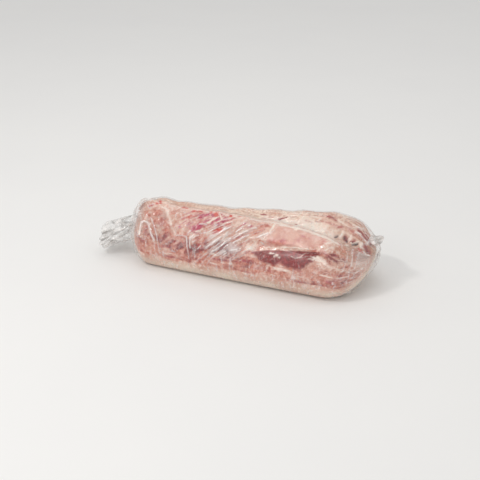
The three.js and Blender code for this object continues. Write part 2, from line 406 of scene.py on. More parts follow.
SALMON = [
    (67, 3.36, 10, 7, 10, 1),
    (82, 3.08, 11, 8.4, 12, 1),
    (98, 2.76, 9, 6.6, 10, 1),
    (94, 2.93, 9, 4, 10, 0.85),
    (44, 3.24, 5.2, 6, 60, 0.8),
    (99, 3.6, 8, 5.6, 25, 0.75),
    (137, 3.51, 8, 3.4, 15, 0.8),
    (148, 3.84, 11, 4.2, 8, 0.85),
    (152, 3.6, 8, 7, 0, 0.75),
    (176, 3.8, 16, 6, 5, 0.2),
    (275, 3.29, 6, 4.8, 30, 0.8),
    (293, 3.68, 11, 5.6, 0, 0.75),
    (287, 3.5, 7, 4.6, 0, 0.75),
    (205, 3.22, 13, 5.6, 41, 0.8),
    (112, 3.2, 5, 4, 0, 0.3),
    (51, 2.61, 4, 9, 8, 1),
    (69, 2.75, 4.4, 13, 12, 1),
    (73, 3.02, 5, 6, 0, 0.9),
    (168, 2.76, 4, 10, -28, 0.9),
    (84, 2.48, 13, 8, 0, 0.75),
    (40, 2.9, 6, 8, 0, 0.6),
    (110, 2.62, 9, 7, 20, 0.6),
    (56, 3.12, 9, 6, 20, 0.6),
    (118, 2.86, 6, 2.4, 0, 0.5),
    (232, 2.9, 12, 3, 41, 0.4),
    (250, 2.95, 10, 3, 41, 0.5),
    (405, 3.05, 10, 6, -10, 0.9),
    (326, 3.06, 20, 5.6, 8, 0.85),
    (411, 3.5, 7, 2.6, 52, 0.7),
    (424, 3.44, 6, 2.4, 52, 0.75),
    (434, 3.4, 8, 3, 60, 0.6),
    (410, 3.04, 8, 2.6, -20, 0.8),
    (440, 3.98, 8, 2.4, -60, 0.8),
    (446, 5.19, 5, 3, 10, 0.7),
    (444, 4.2, 7, 10, 20, 0.45),
    (450, 3.7, 7, 11, 0, 0.55),
    (464, 4.4, 5, 14, 20, 0.55),
    (468, 3.7, 3, 30, 2, 0.85),
]
SHOULDER_LEAN = SALMON[:3]
ROSE = [
    (49, 3.65, 6.6, 2.4, 12, 0.7),
    (156, 3.66, 7, 5, 40, 0.9),
    (168, 3.76, 7, 4.6, 35, 1),
    (182, 3.8, 5.6, 4.4, 20, 0.95),
    (172, 3.46, 8, 4, 42, 0.9),
    (183, 3.47, 7, 3.6, 42, 0.95),
    (197, 3.4, 6, 3.6, 42, 0.9),
    (193, 3.61, 6, 4, 42, 0.95),
    (204, 3.6, 6, 4.4, 20, 1),
    (209, 3.76, 4.6, 3.6, 15, 1),
    (157, 3.1, 11, 5.8, 40, 1),
    (121, 3.01, 3, 3, 0, 0.9),
    (158, 2.95, 6, 4, 10, 0.9),
    (250, 3.04, 6, 2, 40, 0.55),
    (249, 3.63, 9, 1.8, 36, 0.85),
    (261, 3.53, 7.6, 1.8, 38, 0.8),
    (128, 3.26, 22, 1.4, 36, 0.5),
    (134, 3.13, 13, 1.4, 41, 0.45),
    (145, 3.24, 11, 1.6, 41, 0.55),
    (326, 3.16, 16, 7, 15, 0.3),
    (331, 3.34, 16, 5.6, 35, 0.15),
    (352, 3.2, 14, 5, 5, 0.2),
    (386, 3.62, 7, 9, 0, 0.15),
    (418, 3.17, 9, 5, -20, 0.35),
    (270, 5.42, 5, 1.8, 15, 0.5),
    (180, 3.62, 32, 17, 15, 0.5),
    (160, 3.3, 20, 8, 40, 0.4),
]
DARK = [
    (158, 2.92, 5, 4, 20, 0.5),
    (120, 2.72, 2.4, 2.2, 0, 0.2),
    (98, 2.55, 8, 5.6, 20, 0.85),
    (36, 2.39, 2.6, 4.6, 0, 0.5),
    (62, 2.44, 12, 5, 0, 0.5),
    (86, 2.42, 10, 5, 0, 0.75),
    (69, 2.66, 3, 8, 14, 0.15),
    (118, 2.47, 7, 3.4, 10, 0.9),
    (128, 2.36, 9, 3, 10, 0.8),
    (142, 2.36, 8, 3, 30, 0.8),
    (156, 2.4, 7, 3, 35, 0.9),
    (167, 2.46, 7, 3, 38, 0.8),
    (178, 2.38, 8, 3.2, 38, 0.9),
    (198, 2.33, 9, 3.4, 40, 0.9),
    (183, 2.6, 5, 4.8, 30, 0.8),
    (192, 2.44, 6, 3, 0, 0.7),
    (209, 2.69, 9, 3.4, 42, 1),
    (221, 2.54, 10, 5, 38, 0.95),
    (243, 2.77, 3.4, 2.2, 0, 0.45),
    (252, 2.72, 3.8, 2.4, 0, 0.45),
    (418, 3.12, 5, 2, -20, 0.6),
    (437, 3.22, 8, 3.8, -10, 0.85),
    (449, 3.14, 5.6, 4, -35, 0.75),
    (429, 3.04, 7, 3, -55, 0.85),
    (438, 2.93, 9, 3.4, -36, 0.9),
    (424, 2.93, 6, 2.2, -60, 0.6),
    (446, 2.93, 5, 1.8, 30, 0.7),
    (456, 3, 4, 1.8, 60, 0.6),
    (481, 5.18, 6, 3, -50, 0.45),
    (405, 3.13, 5, 3.4, -20, 0.6),
    (437, 5.2, 5, 3.4, -20, 1),
    (452, 5.25, 3, 2.6, 0, 1),
    (468, 5.32, 3, 2.4, 0, 0.6),
    (339, 4.92, 2.6, 2.4, 0, 0.85),
    (156, 3.12, 4, 2.6, 40, 0.4),
    (218, 2.6, 10, 6, 40, 0.9),
]
CREAM = [
    (273, 2.7, 9, 5, -5, 0.85),
    (318, 2.65, 6, 1.8, 8, 1),
    (328, 2.6, 3.4, 2.6, -35, 0.8),
    (334, 2.54, 3, 1.8, 20, 0.7),
    (324, 2.55, 1.6, 2.4, 0, 0.7),
    (402, 2.78, 7, 2, -6, 0.95),
    (408, 2.84, 3.4, 3.4, 30, 0.95),
    (413, 2.77, 4.4, 3, -20, 0.95),
    (420, 2.81, 5, 1.6, -24, 0.85),
    (424, 2.71, 4, 2.6, 10, 0.8),
    (394, 2.72, 5, 1.3, 12, 0.8),
    (350, 3.83, 3.6, 3.4, 0, 1),
    (352, 3.91, 8, 3.4, 0, 1),
    (370, 3.96, 6, 3, 0, 0.8),
    (390, 3.95, 12, 3.6, 0, 1),
    (325, 3.96, 11, 3, 0, 0.9),
    (424, 3.9, 8, 4, 20, 0.8),
    (87, 3.63, 3.4, 3, 0, 1),
    (181, 3.55, 3, 2, 45, 0.6),
    (60, 3.92, 3, 2.6, 0, 0.7),
    (124, 3.92, 5, 2.2, 20, 0.6),
    (431, 4.7, 6, 5, 0, 0.8),
    (445, 4.85, 4, 3, 0, 0.7),
    (427.5, 5.2, 2.2, 5, -20, 1),
    (445, 5.3, 2.4, 3, 0, 0.8),
    (468, 5.23, 4.4, 2.6, -20, 1),
    (443.5, 5.2, 2, 2, 0, 0.8),
    (411, 5.1, 5, 4, 0, 0.5),
    (316, 4.75, 19, 12, 8, 0.95),
    (366, 4.85, 26, 15, 6, 0.95),
]
CREAM_LINES = [
    (270, 4.02, 302, 3.96, 1.7, 0.03, 0.75),
    (302, 3.98, 330, 3.93, 1.8, 0.02, 0.9),
    (330, 3.93, 372, 3.95, 2, -0.02, 0.95),
    (372, 3.95, 404, 4, 2.4, 0.02, 0.95),
    (404, 4, 438, 3.95, 2.8, 0.03, 1),
    (310, 3.92, 304, 3.43, 2.4, 0.04, 0.8),
    (304, 3.43, 288, 3.22, 2.2, 0.05, 0.55),
    (292, 2.76, 335, 2.86, 1.2, 0.02, 0.5),
    (335, 2.87, 386, 3.07, 1.4, 0.02, 0.9),
    (386, 3.07, 411, 3.31, 1.4, -0.05, 0.5),
    (411, 3.31, 430, 3.92, 1.8, 0.04, 0.5),
    (431, 3.95, 431, 3.3, 1.8, 0.05, 0.6),
    (356, 2.67, 376, 2.75, 1, -0.06, 0.6),
    (374, 2.76, 396, 2.93, 0.9, 0.06, 0.55),
    (362, 2.64, 392, 2.76, 0.7, 0.04, 0.5),
    (398, 2.7, 404, 2.8, 2, 0, 0.85),
    (404, 2.72, 424, 2.74, 2.4, 0.06, 0.9),
    (417, 2.7, 433, 2.62, 1.8, 0, 0.8),
    (406, 3.12, 419, 3.62, 2, 0.05, 0.6),
    (419, 3.62, 428, 3.9, 3, 0.02, 0.95),
    (419, 3.32, 430, 3.58, 2.2, 0.03, 0.9),
    (430, 3.58, 440, 3.86, 1.4, 0.03, 0.6),
    (438, 3.36, 449, 3.6, 1, 0, 0.5),
    (436, 4.3, 447, 3.7, 1.5, 0.05, 0.6),
    (441, 4.75, 454, 4.1, 1.6, 0.05, 0.65),
    (443, 3.55, 451, 3.05, 1.3, -0.05, 0.6),
    (452, 3.95, 457, 3.3, 1.2, 0.04, 0.5),
    (64, 4.05, 70, 3.78, 1.5, -0.03, 0.8),
    (70, 3.78, 86, 3.62, 1.9, -0.04, 0.95),
    (175, 3.42, 189, 3.74, 1.9, 0, 1),
    (164, 3.62, 176, 3.7, 1.3, 0, 0.6),
    (77, 3.78, 86, 3.6, 1.5, 0.06, 0.6),
    (87, 3.58, 89, 3.4, 1.9, 0.04, 0.8),
    (89, 3.4, 97, 3.2, 2, 0.04, 0.85),
    (96, 3.24, 103, 3.06, 2, 0, 1),
    (103, 3.06, 108, 2.86, 1.5, -0.05, 0.6),
    (106, 2.94, 115, 2.7, 1.7, 0.03, 0.7),
    (154, 2.96, 170, 3.1, 2, -0.05, 0.6),
    (193, 3.92, 199, 3.66, 1.5, 0.02, 0.95),
    (449, 5.15, 461, 5.31, 1.1, 0, 1),
    (440, 5.78, 476, 5.72, 1, 0.05, 0.8),
    (430, 5.92, 470, 5.94, 1, 0.04, 0.7),
    (448, 5.56, 474, 5.56, 1.3, 0.04, 0.8),
    (436, 5.6, 456, 5.76, 1.2, 0.03, 0.6),
    (455, 5.98, 478, 6.1, 1.2, 0.04, 0.6),
]
BACK_STREAKS = [
    (300, 5.7, 350, 5.76, 1.2, 0.03, 0.25),
    (350, 5.67, 385, 5.74, 1.2, 0.02, 0.45),
    (385, 5.74, 409, 5.64, 1.5, 0.03, 0.85),
    (340, 5.98, 400, 6.02, 1.1, 0.02, 0.35),
    (416, 5.51, 425, 5.56, 1.3, 0, 0.85),
    (404, 5.84, 430, 5.82, 1.2, 0.03, 0.4),
    (426, 5.81, 443, 5.64, 1.6, 0.06, 0.35),
    (451, 5.71, 464, 5.67, 2.2, 0, 1),
    (463, 5.67, 480, 5.67, 3.2, 0.03, 1),
    (465, 5.83, 489, 5.81, 1.4, 0.04, 1),
    (430, 5.62, 452, 5.5, 1, 0.04, 0.6),
    (418, 5.96, 446, 5.92, 1, 0.04, 0.55),
    (446, 6.16, 474, 6.06, 1, 0.03, 0.55),
    (460, 5.9, 476, 5.99, 1.5, 0.02, 0.8),
    (476, 5.99, 489, 5.78, 1.6, 0.03, 0.9),
    (438, 5.98, 458, 6.1, 1.3, 0.03, 0.5),
    (380, 6.15, 440, 6.3, 1.4, -0.04, 0.35),
    (448, 5.46, 466, 5.44, 1.2, 0.04, 0.45),
    (474, 5.28, 488, 5.06, 3.4, 0.03, 1),
    (470, 5.22, 482, 5.05, 1.4, 0.03, 0.8),
    (479, 5.42, 491, 5.2, 1.2, 0.03, 0.6),
    (300, 5.2, 308, 5.33, 1.9, 0, 1),
    (337, 4.9, 341, 4.94, 1.5, 0, 1),
    (308, 5.33, 314, 5.42, 1.6, 0, 1),
    (262, 5.38, 270, 5.44, 1.8, 0, 1),
    (280, 5.19, 287, 5.23, 1.4, 0, 0.6),
    (205, 4.8, 220, 4.9, 1.5, 0.05, 0.6),
    (134, 4.96, 144, 5.04, 1.8, 0.05, 0.6),
    (234, 4.8, 246, 4.76, 1.4, 0.02, 0.35),
    (226, 4.52, 231, 4.6, 1.2, 0, 0.8),
    (252, 4.62, 262, 4.56, 1.1, 0.03, 0.6),
    (268, 4.98, 276, 5.02, 1.2, 0, 0.7),
    (320, 5.44, 331, 5.5, 1.1, 0.02, 0.6),
    (352, 5.3, 366, 5.36, 1, 0.02, 0.5),
    (186, 5.02, 196, 5.08, 1.2, 0.02, 0.6),
    (370, 5.46, 384, 5.48, 1.2, 0.03, 0.55),
]
# Hollow slots: sunk into the meat and painted near black, a painted shade.
HOLLOW_SHADES = [
    (303, 5.1, 304, 5.14, 1.6, 0, 0.6),
    (345, 4.16, 380, 4.14, 0.7, 0.01, 0.35),
    (384, 4.15, 412, 4.22, 0.8, 0.03, 0.45),
    (286, 4.24, 312, 4.18, 0.7, 0.02, 0.3),
    (419, 5.04, 421.5, 5.14, 1.9, 0, 1),
    (434, 5.24, 436, 5.19, 1.4, 0, 0.8),
    (439, 5.16, 441.5, 5.12, 1.3, 0, 1),
    (452.5, 5.12, 460.5, 5.24, 1.4, 0, 1),
    (478, 5.24, 484, 5.1, 2.2, 0, 0.4),
]

# The lower edge of the tenderloin, as places along and around, up to where it meets the ridge.
TENDERLOIN_EDGE = np.array([
    [0.290, 2.72], [0.335, 2.90], [0.357, 2.99], [0.386, 3.11], [0.410, 3.34], [0.421, 3.56], [0.431, 3.98],
])


def tenderloin_shape():
    """The smooth oval of the tenderloin, between the ridge and its own lower edge."""
    edge = np.interp(ALONG, TENDERLOIN_EDGE[:, 0], TENDERLOIN_EDGE[:, 1])
    left = 0.302 + 0.010 * smoothstep(AROUND, 3.1, 3.9)
    return (smoothstep(AROUND, edge - 0.01, edge + 0.09) * (1 - smoothstep(AROUND, 3.84, 3.94))
            * band(ALONG, left, 0.431, 0.005))


def flank_band():
    """The dark muscle that shows below the tenderloin: a band with a wavy lower edge, whose slanting ends run
    out to points at its upper edge."""
    top = np.interp(ALONG, [0.268, 0.287, 0.313, 0.338, 0.367, 0.386, 0.412],
                    [2.60, 2.62, 2.74, 2.79, 2.88, 2.96, 3.12])
    low = 2.24 + 0.10 * lattice_noise(ALONG, 0 * V, 0.020, 13, 2)
    left = np.interp(AROUND, [2.20, 2.60], [0.306, 0.276])
    right = np.interp(AROUND, [2.20, 2.70, 3.10], [0.372, 0.402, 0.412])
    across = smoothstep(AROUND, low - 0.10, low + 0.14) * (1 - smoothstep(AROUND, top - 0.04, top + 0.04))
    return band(ALONG, left, right, 0.009) * across


def side_muscle():
    """The long muscle that is cut through along the lower front, between the ribs and the back fat."""
    low = 1.50 + 0.22 * lattice_noise(ALONG, 0 * V, 0.060, 15, 2)
    top = 2.46 + 0.10 * lattice_noise(ALONG, 0 * V, 0.045, 16, 2)
    return band(ALONG, 0.012, 0.482, 0.016) * band(AROUND, low, top, 0.11)


def long_grain(along, around):
    """Seams of lean along the back, which run together towards the folded end, from 0 to 1."""
    spread = 5.2 + (around - 5.2) / lerp(1.0, 0.80, smoothstep(along, 0.330, 0.490))
    return share_noise(along / 0.045, spread / 0.115, 1, 19) + 0.12 * lattice_noise(along, V, 0.009, 20)


def meat_masks():
    """How much of each finish lies at each point, from 0 to 1: salmon lean, rose lean, dark muscle, blood,
    the back's red seams, cream fat, hollows with painted shade, the tenderloin, the flank, painted shade that
    makes the fat darker and browner, speckles, the back, its smooth fat cover, its grain, and the rib side
    that is drawn out slantwise."""
    rib_side = patch(0.030, 0.300, 2.45, 4.0, 0.03, 0.15)
    pulled = smoothstep(ALONG, 0.095, 0.130)
    back = smoothstep(AROUND, 4.1, 4.5) * (1 - smoothstep(AROUND, 9.3, 10.3))
    cover = np.maximum(smoothstep(AROUND, 6.9, 7.9), 1 - smoothstep(AROUND, 0.9, 1.5))
    between = (1 - rib_wave(ALONG, AROUND)) ** 1.3
    a, b = turned(ALONG, V, SLANT)
    slanting = share_noise(a / 0.018, b / 0.0056, 1, 11)
    mottle = share_noise(ALONG, V, 0.024, 17)
    clots = share_noise(ALONG, V, 0.013, 18)
    strands = share_noise(ALONG / 0.034, V / 0.0055, 1, 14)
    fine = share_noise(ALONG, V, 0.0045, 12, 2)
    seams = long_grain(ALONG, AROUND)
    tenderloin = tenderloin_shape()
    flank = flank_band()
    muscle = side_muscle()
    below = 1 - smoothstep(AROUND, 2.6, 3.0)
    ring = bell(np.hypot(ALONG - 0.292, V - girth_at(2.90)) - 0.0058, 0.0020)
    lean = np.maximum.reduce([
        all_spots(SALMON),
        0.9 * ring,
        rib_side * pulled * (0.5 + 0.5 * between) * smoothstep(slanting, 0.45, 0.85) * 0.60,
        rib_side * (1 - pulled) * smoothstep(clots, 0.35, 0.80) * 0.24,
        patch(0.090, 0.145, 2.9, 3.95, 0.012, 0.2) * smoothstep(slanting, 0.40, 0.80) * 0.50,
        # More lean towards the lower edge of the rib side: partly the meat's own colour, partly painted
        # shade.
        rib_side * lerp(0.45, 1, pulled) * below * smoothstep(clots, 0.20, 0.65) * 0.80,
        muscle * lerp(0.35, 0.80, mottle),
        patch(0.415, 0.480, 2.2, 3.95, 0.02, 0.1) * smoothstep(clots, 0.30, 0.70) * 0.60,
        back * smoothstep(seams, 0.58, 0.82) * band(AROUND, 5.6, 7.4, 0.3) * 0.50,
        patch(0.435, 0.500, 5.1, 7.0, 0.030, 0.3) * lerp(0.02, 0.36, mottle),
        (1 - muscle) * (1 - 0.7 * cover) * smoothstep(mottle, 0.50, 0.95) * 0.30,
    ])
    rose = np.maximum.reduce([
        all_spots(ROSE),
        rib_side * pulled * between * smoothstep(slanting, 0.60, 0.90) * 0.50,
        muscle * smoothstep(strands, 0.50, 0.80) * 0.45,
        tenderloin * smoothstep(clots, 0.45, 0.95) * 0.35,
    ])
    dark = np.maximum.reduce([
        all_spots(DARK),
        flank * smoothstep(0.5 * mottle + 0.5 * slanting, 0.40, 0.70) * 0.70,
        muscle * smoothstep(0.6 * strands + 0.4 * mottle, 0.42, 0.72) * 0.55,
        patch(0.100, 0.240, 2.0, 2.60, 0.02, 0.1) * smoothstep(clots, 0.40, 0.70) * 0.90,
        patch(0.420, 0.470, 2.2, 3.30, 0.015, 0.1) * smoothstep(slanting, 0.50, 0.75) * 0.50,
    ])
    cream = np.maximum.reduce([
        all_spots(CREAM),
        all_streaks(CREAM_LINES),
        rib_side * smoothstep(1 - slanting, 0.60, 0.90) * 0.38,
        muscle * (1 - flank) * smoothstep(strands, 0.34, 0.22) * 0.75,
        0.60 * bell(AROUND - 4.02, 0.09) * band(ALONG, 0.02, 0.44, 0.02) * smoothstep(clots, 0.2, 0.5),
        0.55 * bell(AROUND - 3.98, 0.06) * band(ALONG, 0.285, 0.425, 0.012) * smoothstep(clots, 0.1, 0.6),
        0.80 * patch(0.270, 0.420, 4.20, 5.35, 0.02, 0.20) * smoothstep(clots, 0.20, 0.60),
        back * smoothstep(1 - seams, 0.58, 0.84) * smoothstep(AROUND, 4.9, 5.5) * 0.40,
    ])
    blood = np.maximum(
        all_spots(MARROW),
        0.55 * patch(0.100, 0.245, 3.62, 4.10, 0.01, 0.06) * smoothstep(fine, 0.68, 0.86),
    )
    # Painted shade: the fat made darker and browner at the folded end, along the back behind the mouth end,
    # on the dome, the shoulder and the rib side below the ridge.
    dull = np.maximum.reduce([
        patch(0.436, 0.510, 3.3, 7.4, 0.022, 0.5),
        0.36 * patch(-0.02, 0.235, 4.5, 7.0, 0.03, 0.3),
        0.40 * patch(-0.02, 0.094, 1.9, 3.5, 0.012, 0.3),
        0.30 * patch(-0.02, 0.060, 1.9, 4.2, 0.015, 0.3),
        0.15 * patch(0.092, 0.128, 2.8, 3.9, 0.010, 0.2),
        0.25 * patch(0.210, 0.285, 3.2, 3.9, 0.015, 0.2),
    ])
    speckled = np.maximum.reduce([
        (1 - 0.6 * all_spots(SHOULDER_LEAN)) * 0.6 * rib_side * (1 - pulled),
        0.6 * patch(0.080, 0.150, 3.3, 4.0, 0.015, 0.1),
        0.35 * rib_side * pulled,
        0.5 * patch(0.400, 0.490, 2.2, 4.6, 0.015, 0.1),
        back * lerp(0.30, 0.45, smoothstep(ALONG, 0.220, 0.290)) * (1 - 0.9 * cover),
    ])
    grain = back * lerp(0.45, 1, smoothstep(AROUND, 5.2, 5.6)) * lerp(1, 0.35, smoothstep(AROUND, 6.4, 7.6))
    clear = 1 - 0.85 * cream
    return {
        "lean": roughened(lean, 0.006, 0.4, 21),
        "rose": roughened(rose * clear, 0.005, 0.5, 24),
        "dark": roughened(dark * clear, 0.005, 0.5, 27),
        "blood": roughened(blood, 0.004, 0.5, 31),
        "seam": all_streaks(BACK_STREAKS),
        "fat": roughened(cream, 0.005, 0.4, 34),
        "hollow": all_streaks(HOLLOW_SHADES, even=True),
        "tenderloin": tenderloin,
        "flank": roughened(flank, 0.006, 0.4, 37),
        "dull": dull,
        "speckled": speckled,
        "back": back,
        "cover": cover * lerp(0.70, 1, smoothstep(mottle, 0.3, 0.6)),
        "grain": grain * lerp(0.35, 1, smoothstep(ALONG, 0.250, 0.400)),
        "pulled": rib_side * pulled * lerp(0.35, 1, patch(0.130, 0.230, 3.2, 3.9, 0.02, 0.2)),
    }


MASKS = meat_masks()


def meat_depths():
    """How deep the meat lies in the film: deeper between the ribs, in the slots between the broken spines and
    along the tenderloin's edge, with an uneven grain, and well clear of the film at both ends' upper rims."""
    between = (1 - rib_wave(ALONG, AROUND)) * patch(0.040, 0.262, 2.1, 3.7, 0.018, 0.4)
    edge = 4 * MASKS["tenderloin"] * (1 - MASKS["tenderloin"])
    grain = 0.0005 * lattice_noise(ALONG, V, 0.012, 41) + 0.00025 * lattice_noise(ALONG, V, 0.0045, 44, 2)
    depth = MEAT_DEPTH + BETWEEN_RIBS * between + TENDERLOIN_RIM * edge + grain
    for name, deeper in MASK_DEPTHS.items():
        depth += deeper * MASKS[name]
    high = smoothstep(FORM[..., 2], 0.03, 0.11)
    far = smoothstep(FORM[..., 1], -0.02, 0.08)
    depth += MOUTH_CLEARANCE * (1 - smoothstep(ALONG, 0.002, 0.060)) * lerp(0.35, 1, high)
    depth += FOLDED_CLEARANCE * smoothstep(ALONG, LENGTH - 0.046, LENGTH - 0.004) * lerp(0.35, 1, far)
    return np.maximum(lerp(REST_DEPTH, depth, OFF_FLOOR), REST_DEPTH)


# The film's folds that can be told apart: the start and end, each along and around, the half width, the
# height, the bow and how white the crest is, which is partly a painted highlight. Places along, half widths
# and heights are in millimetres.
FOLDS = [
    (41, 2.81, 41.5, 2.41, 2.4, 2, 0, 1),
    (41, 2.81, 54, 2.85, 2.4, 1.8, 0.18, 1),
    (54, 2.85, 65, 2.59, 3.2, 1.8, 0.03, 0.78),
    (65, 2.59, 75, 2.33, 3.2, 1.6, 0, 0.78),
    (57, 3.09, 72, 2.77, 1.5, 1.4, 0.04, 0.8),
    (72, 2.77, 82, 2.36, 1.6, 1.6, 0.03, 0.9),
    (21, 3.5, 24, 3.16, 2, 1.2, 0, 0.7),
    (30, 3.9, 44, 4.07, 2.2, 1.2, 0.05, 0.7),
    (120, 2.66, 142, 2.68, 1.6, 1.4, 0.12, 0.75),
    (142, 2.68, 147, 2.36, 2.1, 1.8, 0.05, 1),
    (151, 2.75, 154, 2.36, 2, 1.6, -0.05, 0.95),
    (155, 2.6, 163, 2.4, 1.4, 1, 0, 0.45),
    (187, 2.42, 213, 2.82, 1.3, 1.3, 0.02, 0.85),
    (200, 2.4, 234, 3.23, 1.2, 1.2, 0.02, 0.75),
    (204, 2.38, 238, 2.93, 1.2, 1.3, 0.02, 0.85),
    (238, 2.93, 262, 3.34, 1.9, 1.8, 0, 1),
    (212, 2.38, 236, 2.78, 1, 1, 0.02, 0.55),
    (240, 2.78, 267, 3.18, 1.8, 1.6, 0.02, 1),
    (285, 3.14, 303, 3.38, 1.9, 1.6, 0, 1),
    (262, 3.34, 290, 3.75, 1.4, 1, 0.02, 0.45),
    (240, 3.18, 244, 3.3, 2.2, 1.8, 0, 1),
    (246, 3.36, 250, 3.46, 2, 1.2, 0, 0.8),
    (270, 3.47, 277, 3.52, 1.8, 1.2, 0, 1),
    (217, 3.53, 224, 3.6, 2, 1, 0, 0.65),
    (162, 3.24, 176, 3.28, 1.5, 1.4, 0.1, 1),
    (151, 2.67, 156, 2.77, 1.8, 0.8, 0, 1),
    (144, 2.83, 149, 2.94, 1.7, 0.8, 0, 0.9),
    (197, 2.56, 202, 2.7, 1.8, 0.8, 0, 1),
    (169, 2.34, 174, 2.46, 1.7, 0.8, 0, 0.9),
    (247, 2.88, 252, 2.98, 1.8, 0.8, 0, 1),
    (107, 3.59, 109, 3.38, 1.5, 0.8, 0, 0.85),
    (192, 3.99, 197, 4.06, 1.5, 0.6, 0, 0.8),
    (114, 3.09, 118, 2.74, 1.4, 1, 0, 0.4),
    (293, 2.98, 298, 2.9, 1.6, 1, 0, 0.9),
    (460, 4.55, 464, 3.61, 1.4, 1.6, -0.02, 0.75),
    (464, 3.61, 463, 2.6, 1.4, 1.6, 0.02, 0.65),
    (472, 4.7, 472, 3.7, 1.3, 1.4, 0, 0.55),
    (472, 3.7, 469, 2.6, 1.3, 1.4, 0.02, 0.5),
    (456, 3.5, 452, 2.5, 1.8, 1.4, 0.03, 0.5),
    (474, 4.93, 487, 3.93, 1.8, 1.4, 0.04, 0.75),
    (163, 1.62, 200, 2.4, 1.4, 1.2, 0.03, 0.55),
    (176, 1.55, 205, 2.38, 1.2, 1.2, 0.03, 0.5),
    (190, 1.7, 213, 2.4, 1.2, 1, 0.02, 0.5),
    (82, 2.36, 90, 1.84, 1.6, 1.4, 0.03, 0.55),
    (75, 2.33, 78, 1.95, 2.2, 1.4, 0.02, 0.45),
    (148, 2.36, 152, 1.8, 1.8, 1.4, 0.03, 0.5),
    (463, 2.6, 460, 1.9, 1.4, 1.4, 0.03, 0.5),
    (448, 5.58, 477, 5.38, 1.1, 1, 0.03, 0.6),
    (450, 5.8, 480, 5.78, 0.9, 0.8, 0.02, 0.55),
]

# Where the film hangs smooth and milky, as a spot, and where painted shade makes it darker, as spots with a
# strength.
SMOOTH_PATCH = (240, 2.60, 12.5, 7, 0)
SHADES = [
    (*SMOOTH_PATCH, 0.45),
    (477, 3.90, 11, 26, 8, 0.50),
    (52, 2.62, 8, 11, 0, 0.45),
    (24, 3.10, 11, 22, 0, 0.35),
    (82, 2.90, 18, 24, 0, 0.28),
]


def film_relief():
    """How far the film stands off its even form, and its masks: how white its creases are, partly as painted
    highlight, how milky it is, how dark it is by painted shade, how hard it is pulled slantwise, and how
    loose it is. Slanting pulls cross the rib side, folds gather towards both ends, and a light crumple lies
    all over.
    The folds that can be told apart are ridges along their own lines."""
    slant = patch(0.110, 0.310, 2.2, 3.85, 0.035, 0.25)
    slanting = crests(ALONG, V, SLANT, 0.050, 0.0062, 201)
    gathered = crests(ALONG, V, 4, 0.050, 0.0110, 211)
    upright = crests(ALONG, V, 98, 0.045, 0.0085, 221)
    crumpled = crests(ALONG, V, 20, 0.020, 0.0120, 231)
    long_pull = crests(ALONG, V, -14, 0.110, 0.0150, 251)
    low = patch(-0.1, 0.6, -0.8, 2.4, 0.02, 0.4)
    behind = patch(-0.1, 0.6, 6.2, 10.8, 0.02, 0.5)
    dome = patch(-0.01, 0.060, 2.6, 5.0, 0.015, 0.3)
    ends = np.maximum(TO_MOUTH, TO_FOLDED)
    loose = 1 - 0.8 * np.maximum(MASKS["tenderloin"], flank_band())
    smooth_patch = spot(*SMOOTH_PATCH)
    relief = (0.0009 * slant * slanting + 0.0014 * ends * gathered + 0.0008 * low * upright
              + 0.0014 * behind * long_pull + 0.0005 * loose * crumpled)
    relief += all_streaks([(*fold[:5], fold[6], MM * fold[5]) for fold in FOLDS], even=True)
    white = all_streaks([(*fold[:4], CREST_SHARE * fold[4], *fold[6:]) for fold in FOLDS], even=True)
    patchy = share_noise(ALONG, V, 0.010, 241)
    often = smoothstep(patchy, 0.2, 0.7)
    seldom = smoothstep(patchy, 0.3, 0.7)
    # The creases' white: partly the film's own milkiness, partly painted highlight where glints lie.
    crease = np.maximum.reduce([
        white * lerp(0.70, 1, patchy),
        0.60 * slant * smoothstep(slanting, 0.72, 0.98) * smoothstep(patchy, 0.25, 0.7),
        0.55 * ends * smoothstep(gathered, 0.74, 0.98) * often,
        0.52 * low * smoothstep(upright, 0.76, 0.97) * seldom,
        0.70 * behind * smoothstep(long_pull, 0.76, 0.98) * seldom,
        0.25 * loose * smoothstep(crumpled, 0.82, 0.99) * patchy,
        0.60 * dome * smoothstep(crumpled, 0.74, 0.95) * often,
    ])
    veil = 0.07 * loose * smoothstep(lattice_noise(ALONG, V, 0.017, 261), 0.0, 0.6) + 0.03 * ends
    veil += 0.34 * smooth_patch
    veil += 0.14 * patch(-0.01, 0.030, 2.4, 6.6, 0.012, 0.3) * lerp(0.4, 1, patchy)
    veil += 0.22 * patch(-0.01, 0.026, 3.7, 6.0, 0.008, 0.2)
    veil += 0.20 * patch(0.472, 0.488, 2.4, 4.7, 0.004, 0.2) * lerp(0.5, 1, patchy)
    core = 0.45 * slant + 0.55 * patch(0.180, 0.275, 1.8, 3.5, 0.018, 0.20)
    return relief, {
        "crease": np.clip(crease, 0, 1),
        "veil": veil,
        "shade": all_spots(SHADES),
        "slant": core * (1 - 0.85 * smooth_patch),
        "loose": loose,
    }


